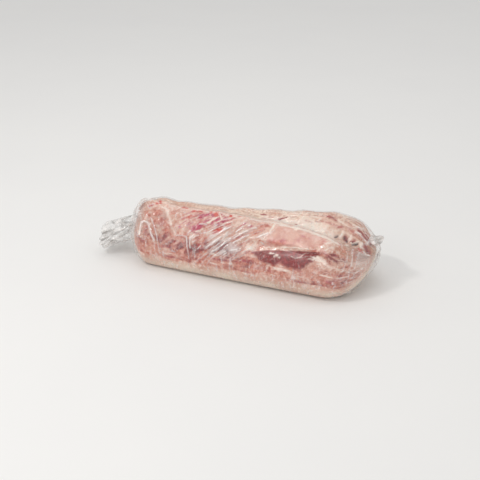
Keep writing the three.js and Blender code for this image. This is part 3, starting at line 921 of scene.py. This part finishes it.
def grid_mesh(name, points, first, last, u, v, whole, masks):
    """A closed mesh from a grid of points that is closed around, with a pole at each end. Its UV map holds
    the lengths along and around, with v carried on across the seam, and each mask is a point attribute."""
    rows, sides = points.shape[:2]
    near = np.arange(sides)
    after = (near + 1) % sides
    ring = sides * np.arange(rows - 1)[:, None]
    quads = np.stack([ring + near, ring + sides + near, ring + sides + after, ring + after], -1)
    end_ring, first_pole, last_pole = (rows - 1) * sides, rows * sides, rows * sides + 1
    start = np.stack([np.full(sides, first_pole), near, after], -1)
    end = np.stack([np.full(sides, last_pole), end_ring + after, end_ring + near], -1)
    vertices = np.concatenate([points.reshape(-1, 3), [first, last]])
    mesh = bpy.data.meshes.new(name)
    mesh.from_pydata(vertices.tolist(), [], quads.reshape(-1, 4).tolist() + start.tolist() + end.tolist())
    mesh.shade_smooth()

    next_v = np.append(v[0, 1:], whole)
    half_v = 0.5 * (v[0] + next_v)
    corner_u = np.stack([u[:-1, 0], u[1:, 0], u[1:, 0], u[:-1, 0]], -1)[:, None].repeat(sides, 1)
    corner_v = np.stack([v[0], v[0], next_v, next_v], -1)[None].repeat(rows - 1, 0)
    uv = np.concatenate([
        np.stack([corner_u, corner_v], -1).reshape(-1, 2),
        np.stack([np.full((sides, 3), u[0, 0]), np.stack([half_v, v[0], next_v], -1)], -1).reshape(-1, 2),
        np.stack([np.full((sides, 3), u[-1, 0]), np.stack([half_v, next_v, v[0]], -1)], -1).reshape(-1, 2),
    ])
    layer = mesh.uv_layers.new(name="lengths")
    layer.data.foreach_set("uv", uv.astype(np.float32).reshape(-1))
    for mask, values in masks.items():
        at_poles = [values[0].mean(), values[-1].mean()]
        data = np.concatenate([values.reshape(-1), at_poles]).astype(np.float32)
        mesh.attributes.new(mask, "FLOAT", "POINT").data.foreach_set("value", data)
    piece = bpy.data.objects.new(name, mesh)
    bpy.context.scene.collection.objects.link(piece)
    return piece


def crumple(u, v, cell, seed, directions=7):
    """Flat facets with sharp creases between them, from about -1 to 1: a sum of zigzag waves whose
    directions, lengths and starts are random."""
    random = np.random.default_rng(seed)
    total = 0.0
    for heading, length, start in random.uniform(0, 1, (directions, 3)):
        heading, length = TAU * heading, cell * (0.7 + 1.1 * length)
        wave = (u * math.cos(heading) + v * math.sin(heading)) / length + start
        total = total + 4 * np.abs(wave - np.floor(wave) - 0.5) - 1
    return total / directions ** 0.5


def turn_between(turn, place):
    """The angle from a place, itself a share of a whole turn, from half a turn back to half a turn on."""
    return np.mod(turn - TAU * place + math.pi, TAU) - math.pi


def loose_film(name, fan, rows, sides):
    """A bunch of slack film that leaves the meat at its root, runs to its ragged tip, turns in there and runs
    back inside itself, so that the bunch is hollow. Its section is an ellipse with sharp inward folds at
    random places, which drift sideways on their way to the tip, and its faces are crumpled. Painted highlight
    makes it white on its ridges, and painted shade makes it dark in its folds."""
    random = np.random.default_rng(fan["seed"])

    # The rows run out to the tip, and then back inside to 0.30 of the reach, where the section is smallest.
    outer = int(rows * 0.62)
    inner = rows - outer
    share = np.concatenate([np.linspace(0, 1, outer), np.linspace(0.985, 0.30, inner)])[:, None]
    size = np.concatenate([np.ones(outer), np.linspace(0.95, 0.35, inner)])[:, None]
    turn = (TAU * np.arange(sides) / sides)[None]
    grown = share ** 0.75
    girth = math.pi * (fan["width"][1] + fan["height"][1])
    reach = np.append(0, np.cumsum(np.abs(np.diff(share[:, 0])))) * fan["reach"]
    u = np.broadcast_to(reach[:, None], (rows, sides))
    v = np.broadcast_to(turn / TAU * girth, (rows, sides))
    radius = 1.04 + 0 * u
    rim = 0 * turn
    for place, drift, depth, narrow in random.uniform(0, 1, (fan["folds"], 4)):
        away = turn_between(turn - (drift - 0.5) * 0.9 * share, place)
        radius = radius - (0.05 + 0.20 * depth) * grown * np.exp(-np.abs(away) / (0.05 + 0.13 * narrow))
        rim = rim - 0.09 * depth * np.exp(-np.abs(turn_between(turn, place)) / 0.2)
    across, up = girth / TAU * np.cos(turn), girth / TAU * np.sin(turn)
    facets = crumple(across + u, up - 0.6 * u, 0.021, fan["seed"] + 1)
    facets = facets + 0.5 * crumple(across - u, up + 0.4 * u, 0.010, fan["seed"] + 2)
    radius = size * (radius + 0.080 * facets * (0.25 + 0.75 * grown))
    ragged = 1.03 + rim + 0.02 * np.sin(3 * turn + 0.6)
    side = -fan["direction"] * turn
    root = np.array(fan["root"]) - [LENGTH / 2, 0, 0]
    x = root[0] + fan["direction"] * fan["reach"] * share * ragged
    y = root[1] + lerp(*fan["width"], grown) * radius * np.cos(side)
    z = root[2] + fan["rise"] * share + lerp(*fan["height"], grown) * radius * np.sin(side)
    points = np.stack([x, y, np.maximum(z, CLEAR_OF_FLOOR)], -1)
    bend = np.roll(radius, 2, 1) - 2 * radius + np.roll(radius, -2, 1)
    bend = bend * fan["sharpness"] * np.minimum(1, 3 * share)
    # Painted shade in the valleys of the folds, and painted highlight on their ridges and facets.
    valley = np.clip(1.6 * (1.0 - radius / size) - 0.25 * facets, 0, 1)
    top = np.clip(5.0 * (radius / size - 1.04) + 0.4 * facets, 0, 0.7)
    even = 0 * u
    masks = {
        "crease": np.maximum(np.clip(-1.5 * bend, 0, 1), top),
        "veil": even + fan["veil"],
        "shade": np.maximum(np.clip(1.2 * bend, 0, 1), valley),
        "slant": even,
        "loose": even + 1,
    }
    first, last = root, points[-1].mean(0)
    if fan["direction"] < 0:
        points, u = points[::-1], u[::-1]
        masks = {mask: values[::-1] for mask, values in masks.items()}
        first, last = last, first
    return grid_mesh(name, points, first, last, u, v, girth, masks)


def linear(red, green, blue):
    """A colour given in sRGB from 0 to 255, as linear light with full alpha."""
    share = np.array([red, green, blue]) / 255
    light = np.where(share <= 0.04045, share / 12.92, ((share + 0.055) / 1.055) ** 2.4)
    return (*light.tolist(), 1.0)


def put(tree, kind, inputs=None, **settings):
    """Adds a node, sets its own settings, and gives each named or numbered input a value or a link."""
    made = tree.nodes.new(kind)
    for name, value in settings.items():
        setattr(made, name, value)
    for name, value in (inputs or {}).items():
        if isinstance(value, bpy.types.NodeSocket):
            tree.links.new(value, made.inputs[name])
        else:
            made.inputs[name].default_value = value
    return made


def calc(tree, operation, a, b=0.0, c=0.0, clamp=False):
    return put(tree, "ShaderNodeMath", {0: a, 1: b, 2: c}, operation=operation, use_clamp=clamp).outputs[0]


def blend(tree, share, a, b):
    """The first colour at a share of 0 and the second at 1."""
    return put(tree, "ShaderNodeMix", {0: share, 6: a, 7: b}, data_type="RGBA").outputs[2]


def ramp(tree, value, low, high):
    """0 at low and 1 at high, with a smooth step between them. Low may be the greater of the two."""
    inputs = {0: value, 1: low, 2: high}
    return put(tree, "ShaderNodeMapRange", inputs, interpolation_type="SMOOTHSTEP").outputs[0]


def attribute(tree, name):
    return put(tree, "ShaderNodeAttribute", attribute_name=name).outputs["Fac"]


def noise(tree, vector, scale, detail=4.0, rough=0.55):
    inputs = {"Vector": vector, "Scale": scale, "Detail": detail, "Roughness": rough}
    return put(tree, "ShaderNodeTexNoise", inputs).outputs["Fac"]


def new_group(name, inputs, outputs):
    """A node group with named sockets: the kind of each input, and the names of its number outputs."""
    tree = bpy.data.node_groups.new(name, "ShaderNodeTree")
    for socket, kind in inputs.items():
        tree.interface.new_socket(socket, in_out="INPUT", socket_type=kind)
    for socket in outputs:
        tree.interface.new_socket(socket, in_out="OUTPUT", socket_type="NodeSocketFloat")
    return tree, tree.nodes.new("NodeGroupInput").outputs, tree.nodes.new("NodeGroupOutput").inputs


def uneven_mask_group():
    """Breaks up a mask's edge with grain of a given scale."""
    kinds = {"Vector": "NodeSocketVector"} | dict.fromkeys(["Mask", "Scale", "Amount"], "NodeSocketFloat")
    tree, given, out = new_group("uneven mask", kinds, ["Mask"])
    grain = calc(tree, "SUBTRACT", noise(tree, given["Vector"], given["Scale"]), 0.5)
    broken = calc(tree, "MULTIPLY_ADD", grain, given["Amount"], given["Mask"])
    tree.links.new(ramp(tree, broken, 0.0, 1.0), out["Mask"])
    return tree


def crest_lines(tree, vector, scale, narrow):
    """Thin crests where noise crosses its middle value."""
    off_middle = calc(tree, "ABSOLUTE", calc(tree, "SUBTRACT", noise(tree, vector, scale, 1.0), 0.5))
    return calc(tree, "SUBTRACT", 1.0, calc(tree, "MULTIPLY", off_middle, narrow), clamp=True)


def stretched(tree, lengths, degrees, scale):
    """The lengths turned to an angle and scaled more across it than along it, for streaks at that angle."""
    inputs = {"Vector": lengths, "Angle": -math.radians(degrees)}
    along = put(tree, "ShaderNodeVectorRotate", inputs, rotation_type="Z_AXIS").outputs[0]
    return put(tree, "ShaderNodeVectorMath", {0: along, 1: (*scale, 1)}, operation="MULTIPLY").outputs[0]


def film_wrinkle_group():
    """Fine wrinkles of the film: long slanting ones where it is pulled, and small facets with straight
    creases and short painted glints where it is loose. Lines are their white crests and glints, painted
    highlights, and shade is painted shade on the darker side of the long ones."""
    kinds = {"Lengths": "NodeSocketVector", "Slant": "NodeSocketFloat", "Loose": "NodeSocketFloat"}
    tree, given, out = new_group("film wrinkles", kinds, ["Height", "Lines", "Shade"])
    lengths = given["Lengths"]
    slanting = stretched(tree, lengths, SLANT, (8, 230))
    beside = put(tree, "ShaderNodeVectorMath", {0: slanting, 1: (0.0, 0.30, 0.0)}, operation="ADD").outputs[0]
    long_crest = calc(tree, "MULTIPLY", crest_lines(tree, slanting, 1.0, 9.0), given["Slant"])
    long_shade = calc(tree, "MULTIPLY", crest_lines(tree, beside, 1.0, 14.0), given["Slant"])
    warp = put(tree, "ShaderNodeTexNoise", {"Vector": lengths, "Scale": 30.0}).outputs["Color"]
    inputs = {0: warp, 1: (0.012, 0.012, 0.0), 2: lengths}
    bent = put(tree, "ShaderNodeVectorMath", inputs, operation="MULTIPLY_ADD").outputs[0]
    inputs = {"Vector": bent, "Scale": 62.0}
    facet = put(tree, "ShaderNodeTexVoronoi", inputs, feature="DISTANCE_TO_EDGE").outputs[0]
    loose = calc(tree, "MULTIPLY", ramp(tree, noise(tree, lengths, 42.0), 0.42, 0.60), given["Loose"])
    part = ramp(tree, noise(tree, lengths, 95.0), 0.50, 0.62)
    glint = ramp(tree, noise(tree, stretched(tree, lengths, 30, (210, 380)), 1.0, 2.0), 0.64, 0.70)
    height = calc(tree, "MULTIPLY_ADD", facet, calc(tree, "MULTIPLY", loose, -2.0), long_crest)
    creases = calc(tree, "MULTIPLY", ramp(tree, facet, 0.06, 0.0), calc(tree, "MULTIPLY", part, 0.45))
    short_lines = calc(tree, "MULTIPLY", calc(tree, "MAXIMUM", creases, glint), loose)
    lines = calc(tree, "MAXIMUM", short_lines, ramp(tree, long_crest, 0.62, 0.94))
    tree.links.new(height, out["Height"])
    tree.links.new(lines, out["Lines"])
    tree.links.new(ramp(tree, long_shade, 0.35, 0.80), out["Shade"])
    return tree


def new_material(name):
    """A material with an empty node tree, with that tree and the socket for its shader."""
    material = bpy.data.materials.new(name)
    material.use_nodes = True
    tree = material.node_tree
    tree.nodes.clear()
    return material, tree, tree.nodes.new("ShaderNodeOutputMaterial").inputs["Surface"]


def use_group(tree, group, inputs):
    return put(tree, "ShaderNodeGroup", inputs, node_tree=group).outputs


# The meat's finishes. Each is the noise that mixes its two colours, the noise's value at the first colour and
# at the second, and the colours in sRGB from 0 to 255.
FINISHES = {
    "fat": ("broad", 0.36, 0.66, (227, 185, 167), (213, 158, 139)),
    "back": ("fine", 0.36, 0.61, (213, 173, 150), (249, 230, 212)),
    "cover": ("broad", 0.36, 0.66, (240, 220, 201), (226, 192, 174)),
    "tenderloin": ("broad", 0.35, 0.65, (227, 184, 168), (214, 156, 142)),
    "lean": ("fine", 0.38, 0.62, (182, 80, 60), (218, 144, 122)),
    "flank": ("fine", 0.30, 0.70, (112, 0, 4), (152, 30, 27)),
    "rose": ("fibre", 0.36, 0.64, (168, 28, 70), (206, 88, 118)),
    "dark": ("fine", 0.36, 0.66, (116, 10, 20), (166, 48, 50)),
    "white": ("fine", 0.35, 0.75, (252, 240, 228), (242, 216, 203)),
    "blood": ("fine", 0.30, 0.70, (200, 34, 28), (220, 90, 70)),
    "seam": ("fine", 0.30, 0.70, (138, 30, 32), (182, 78, 70)),
}
# The near black of the hollow slots, a painted shade.
HOLLOW_SHADE_COLOUR = (58, 12, 4)


def meat_material(uneven):
    """Raw meat: its finishes laid over each other by their masks, with specks, grain and streaks, and a fine
    uneven surface."""
    material, tree, surface = new_material("pork loin")
    place = put(tree, "ShaderNodeTexCoord").outputs["Object"]
    lengths = put(tree, "ShaderNodeUVMap", uv_map="lengths").outputs[0]
    patterns = {
        "broad": noise(tree, place, 24.0),
        "blotches": noise(tree, place, 85.0, 2.0),
        "fine": noise(tree, place, 165.0, 5.0, 0.62),
        "speckle": noise(tree, place, 300.0, 2.0),
        "fibre": noise(tree, place, 420.0, 3.0),
        "grain": noise(tree, stretched(tree, lengths, -3, (11, 300)), 1.0, 3.0),
        "slanting": noise(tree, stretched(tree, lengths, SLANT, (24, 210)), 1.0, 3.0),
    }
    finish = {
        name: blend(tree, ramp(tree, patterns[pattern], low, high), linear(*first), linear(*second))
        for name, (pattern, low, high, first, second) in FINISHES.items()
    }

    def marked(ground, pattern, low, high, share, colour, within=None):
        """The ground with a colour over it where a pattern goes from low to high, by a share at most, and
        within a mask if one is named."""
        amount = ramp(tree, patterns[pattern], low, high)
        if within:
            amount = calc(tree, "MULTIPLY", amount, attribute(tree, within))
        return blend(tree, calc(tree, "MULTIPLY", amount, share), ground, colour)

    def covered(ground, name, scale, amount, colour):
        """The ground with a colour over it by a mask, whose edge is broken up with grain."""
        inputs = {"Vector": place, "Mask": attribute(tree, name), "Scale": scale, "Amount": amount}
        return blend(tree, use_group(tree, uneven, inputs)["Mask"], ground, colour)

    fat = marked(finish["fat"], "fine", 0.50, 0.60, 0.80, linear(246, 225, 213))
    back = marked(finish["back"], "broad", 0.46, 0.62, 0.60, linear(215, 166, 144))
    cover = marked(finish["cover"], "fine", 0.46, 0.66, 0.45, linear(247, 234, 220))
    tenderloin = marked(finish["tenderloin"], "fine", 0.50, 0.66, 0.50, linear(240, 206, 192))
    tenderloin = marked(tenderloin, "blotches", 0.50, 0.66, 0.45, linear(240, 210, 200))
    # Painted shade: the fat ground blended towards a darker brown by its mask.
    dull = calc(tree, "MULTIPLY", attribute(tree, "dull"), 0.85)
    colour = blend(tree, attribute(tree, "back"), fat, back)
    colour = blend(tree, dull, colour, linear(190, 138, 108))
    colour = blend(tree, attribute(tree, "cover"), colour, cover)
    colour = blend(tree, attribute(tree, "tenderloin"), colour, tenderloin)
    colour = marked(colour, "grain", 0.54, 0.66, 0.85, linear(192, 108, 94), "grain")
    colour = marked(colour, "grain", 0.46, 0.36, 0.60, linear(248, 232, 220), "grain")
    colour = covered(colour, "lean", 140.0, 0.50, finish["lean"])
    colour = covered(colour, "flank", 150.0, 0.40, finish["flank"])
    colour = marked(colour, "speckle", 0.56, 0.62, 0.75, finish["white"], "speckled")
    colour = marked(colour, "speckle", 0.43, 0.37, 0.50, finish["lean"], "speckled")
    colour = marked(colour, "slanting", 0.54, 0.61, 0.75, finish["rose"], "pulled")
    colour = covered(colour, "rose", 170.0, 0.60, finish["rose"])
    colour = covered(colour, "dark", 150.0, 0.50, finish["dark"])
    colour = marked(colour, "slanting", 0.45, 0.40, 0.70, finish["white"], "pulled")
    colour = covered(colour, "fat", 170.0, 0.50, finish["white"])
    colour = covered(colour, "blood", 220.0, 0.50, finish["blood"])
    colour = covered(colour, "seam", 220.0, 0.40, finish["seam"])
    # Painted shade: the hollow slots painted near black.
    colour = covered(colour, "hollow", 250.0, 0.25, linear(*HOLLOW_SHADE_COLOUR))
    height = calc(tree, "MULTIPLY_ADD", patterns["fibre"], 0.35, patterns["fine"])
    bump = put(tree, "ShaderNodeBump", {"Height": height, "Strength": 0.35, "Distance": 0.0012})
    shader = put(tree, "ShaderNodeBsdfPrincipled", {
        "Base Color": colour,
        "Roughness": calc(tree, "MULTIPLY_ADD", patterns["fine"], 0.25, 0.32),
        "Normal": bump.outputs[0],
        "Subsurface Weight": 0.10,
        "Subsurface Radius": (1.0, 0.35, 0.25),
        "Subsurface Scale": 0.003,
    })
    tree.links.new(shader.outputs[0], surface)
    return material


# The film's index of refraction, how much more gloss its two faces have than one, and the most they have.
FILM_REFRACTION = 1.5
TWO_FACES = 1.2
MOST_GLOSS = 0.20

# How white the film's creases and fine lines are, partly as painted highlight, and how dark the painted shade
# beside the fine lines is.
CREASE_AND_HIGHLIGHT_WHITE = 0.90
LINE_WHITE = 0.64
LINE_SHADE = 0.06


def film_material(name, wrinkles, haze, bump_strength, shade_cover, shade_colour):
    """Clear film: see-through, with a milky haze that thickens on creases and where the film hangs off the
    meat, white creases and fine lines that are partly painted highlight, and a darker grey of painted shade
    where its shade mask lies, under the gloss of its two faces."""
    material, tree, surface = new_material(name)
    lengths = put(tree, "ShaderNodeUVMap", uv_map="lengths").outputs[0]
    loose = attribute(tree, "loose")
    made = use_group(tree, wrinkles, {"Lengths": lengths, "Slant": attribute(tree, "slant"), "Loose": loose})
    inputs = {"Height": made["Height"], "Strength": bump_strength, "Distance": 0.0010}
    normal = put(tree, "ShaderNodeBump", inputs).outputs[0]
    cloud = ramp(tree, noise(tree, lengths, 38.0), 0.40, 0.70)
    # The white cover: haze, veil, creases and fine lines, the last two partly painted highlight.
    milky = calc(tree, "MULTIPLY_ADD", cloud, haze, attribute(tree, "veil"))
    milky = calc(tree, "MULTIPLY_ADD", attribute(tree, "crease"), CREASE_AND_HIGHLIGHT_WHITE, milky)
    milky = calc(tree, "MULTIPLY_ADD", made["Lines"], LINE_WHITE, milky)
    # Painted shade: a darker grey cover from the shade mask and beside the fine lines.
    faint = calc(tree, "MULTIPLY", made["Shade"], LINE_SHADE)
    grey = calc(tree, "MULTIPLY_ADD", attribute(tree, "shade"), shade_cover, faint)
    cover = calc(tree, "ADD", milky, grey, clamp=True)
    body = put(tree, "ShaderNodeBsdfPrincipled", {
        "Base Color": blend(tree, calc(tree, "DIVIDE", grey, cover), linear(255, 251, 248), shade_colour),
        "Roughness": calc(tree, "MULTIPLY_ADD", cloud, 0.2, 0.22),
        "Normal": normal,
        "Alpha": cover,
    })
    shine = put(tree, "ShaderNodeBsdfGlossy", {
        "Roughness": calc(tree, "MULTIPLY_ADD", loose, -0.29, 0.38),
        "Normal": normal,
    })
    fresnel = put(tree, "ShaderNodeFresnel", {"IOR": FILM_REFRACTION, "Normal": normal}).outputs[0]
    gloss = calc(tree, "MINIMUM", calc(tree, "MULTIPLY", fresnel, TWO_FACES), MOST_GLOSS)
    glossy = put(tree, "ShaderNodeMixShader", {0: gloss, 1: body.outputs[0], 2: shine.outputs[0]})
    tree.links.new(glossy.outputs[0], surface)
    return material


def floor_material():
    """A pale matt studio floor with a faint mottle."""
    material, tree, surface = new_material("studio floor")
    place = put(tree, "ShaderNodeTexCoord").outputs["Object"]
    colour = blend(tree, noise(tree, place, 3.0), linear(236, 236, 236), linear(240, 240, 239))
    shader = put(tree, "ShaderNodeBsdfPrincipled", {"Base Color": colour, "Roughness": 0.9})
    tree.links.new(shader.outputs[0], surface)
    return material


def build_loin():
    """The meat, the film round it, the bag's gathered mouth and its folded ear."""
    uneven = uneven_mask_group()
    wrinkles = film_wrinkle_group()
    pork = meat_material(uneven)
    tight_film = film_material("tight film", wrinkles, haze=0.03, bump_strength=0.9, shade_cover=0.40,
                               shade_colour=linear(180, 156, 160))
    slack_film = film_material("slack film", wrinkles, haze=0.07, bump_strength=0.3, shade_cover=0.85,
                               shade_colour=linear(136, 126, 118))
    depth = meat_depths()
    meat_points = FORM - NORMAL * depth[..., None]
    relief, film_masks = film_relief()
    lift = np.maximum(relief * OFF_FLOOR, LEAST_GAP - depth)
    film_points = FORM + NORMAL * lift[..., None]
    film_points[..., 2] = np.maximum(film_points[..., 2], 0)
    meat_points[..., 2] = np.maximum(meat_points[..., 2], REST_DEPTH)
    film_masks["veil"] = film_masks["veil"] + 0.09 * smoothstep(depth + lift, 0.0025, 0.0100)
    meat_tips = meat_points[0].mean(0), meat_points[-1].mean(0)
    film_tips = [-LENGTH / 2, MOUTH_END["y"], MOUTH_END["z"]], [LENGTH / 2, FOLDED_END["y"], FOLDED_END["z"]]
    dressed = [
        (grid_mesh("pork_loin", meat_points, *meat_tips, ALONG, V, GIRTH, MASKS), pork),
        (grid_mesh("film_skin", film_points, *film_tips, ALONG, V, GIRTH, film_masks), tight_film),
        (loose_film("film_gathered_mouth", GATHERED_MOUTH, rows=100, sides=380), slack_film),
        (loose_film("film_folded_ear", FOLDED_EAR, rows=60, sides=200), slack_film),
    ]
    for piece, material in dressed:
        piece.data.materials.append(material)
        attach(piece, "root")
        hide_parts(NODE)


# The studio's lamps: each one's name, place, width and height, and power in watts. All face one point.
LAMPS = [
    ("overhead", (0.0, 0.1, 2.2), (1.4, 1.4), 5),
    ("front", (-0.5, -2.0, 1.3), (1.0, 1.0), 4.6),
    ("front_glint", (-0.9, -1.3, 1.9), (0.50, 0.06), 11),
    ("back_glint", (-0.7, 1.3, 1.6), (0.60, 0.30), 1),
]
LAMP_COLOUR = (1.0, 0.975, 0.945)
LAMP_AIM = (0.0, 0.0, 0.07)
HALF_FLOOR = 14.0


def studio():
    """A pale floor, a bright soft world, broad lights above and in front, and two smaller ones that glint on
    the film."""
    scene = bpy.context.scene
    mesh = bpy.data.meshes.new("studio_floor")
    corners = [(HALF_FLOOR * x, HALF_FLOOR * y, 0) for x, y in ((-1, -1), (1, -1), (1, 1), (-1, 1))]
    mesh.from_pydata(corners, [], [(0, 1, 2, 3)])
    floor = bpy.data.objects.new("studio_floor", mesh)
    mesh.materials.append(floor_material())
    scene.collection.objects.link(floor)
    world = bpy.data.worlds.new("studio")
    world.use_nodes = True
    world.node_tree.nodes["Background"].inputs["Color"].default_value = (1.0, 0.992, 0.980, 1.0)
    world.node_tree.nodes["Background"].inputs["Strength"].default_value = 0.70
    scene.world = world
    for name, place, size, power in LAMPS:
        lamp = bpy.data.lights.new(name, "AREA")
        lamp.shape = "RECTANGLE"
        lamp.size, lamp.size_y = size
        lamp.energy = power
        lamp.color = LAMP_COLOUR
        light = bpy.data.objects.new(name, lamp)
        light.location = place
        aim = np.array(LAMP_AIM) - place
        yaw = math.atan2(aim[0], aim[1])
        pitch = math.atan2(-aim[2], math.hypot(aim[0], aim[1]))
        light.rotation_euler = (math.pi / 2 - pitch, 0, -yaw)
        scene.collection.objects.link(light)


def camera():
    """The camera of the photograph, worked out from its perspective."""
    scene = bpy.context.scene
    lens = bpy.data.cameras.new("camera")
    lens.lens = 82.5
    lens.sensor_width = 36
    lens.clip_end = 60
    view = bpy.data.objects.new("camera", lens)
    view.location = (0.71897, -1.80741, 0.91799)
    view.rotation_euler = (math.radians(90 - 23.7), 0, math.radians(22.3))
    scene.collection.objects.link(view)
    scene.camera = view
    scene.view_settings.view_transform = "Standard"


camera()
studio()
build_loin()
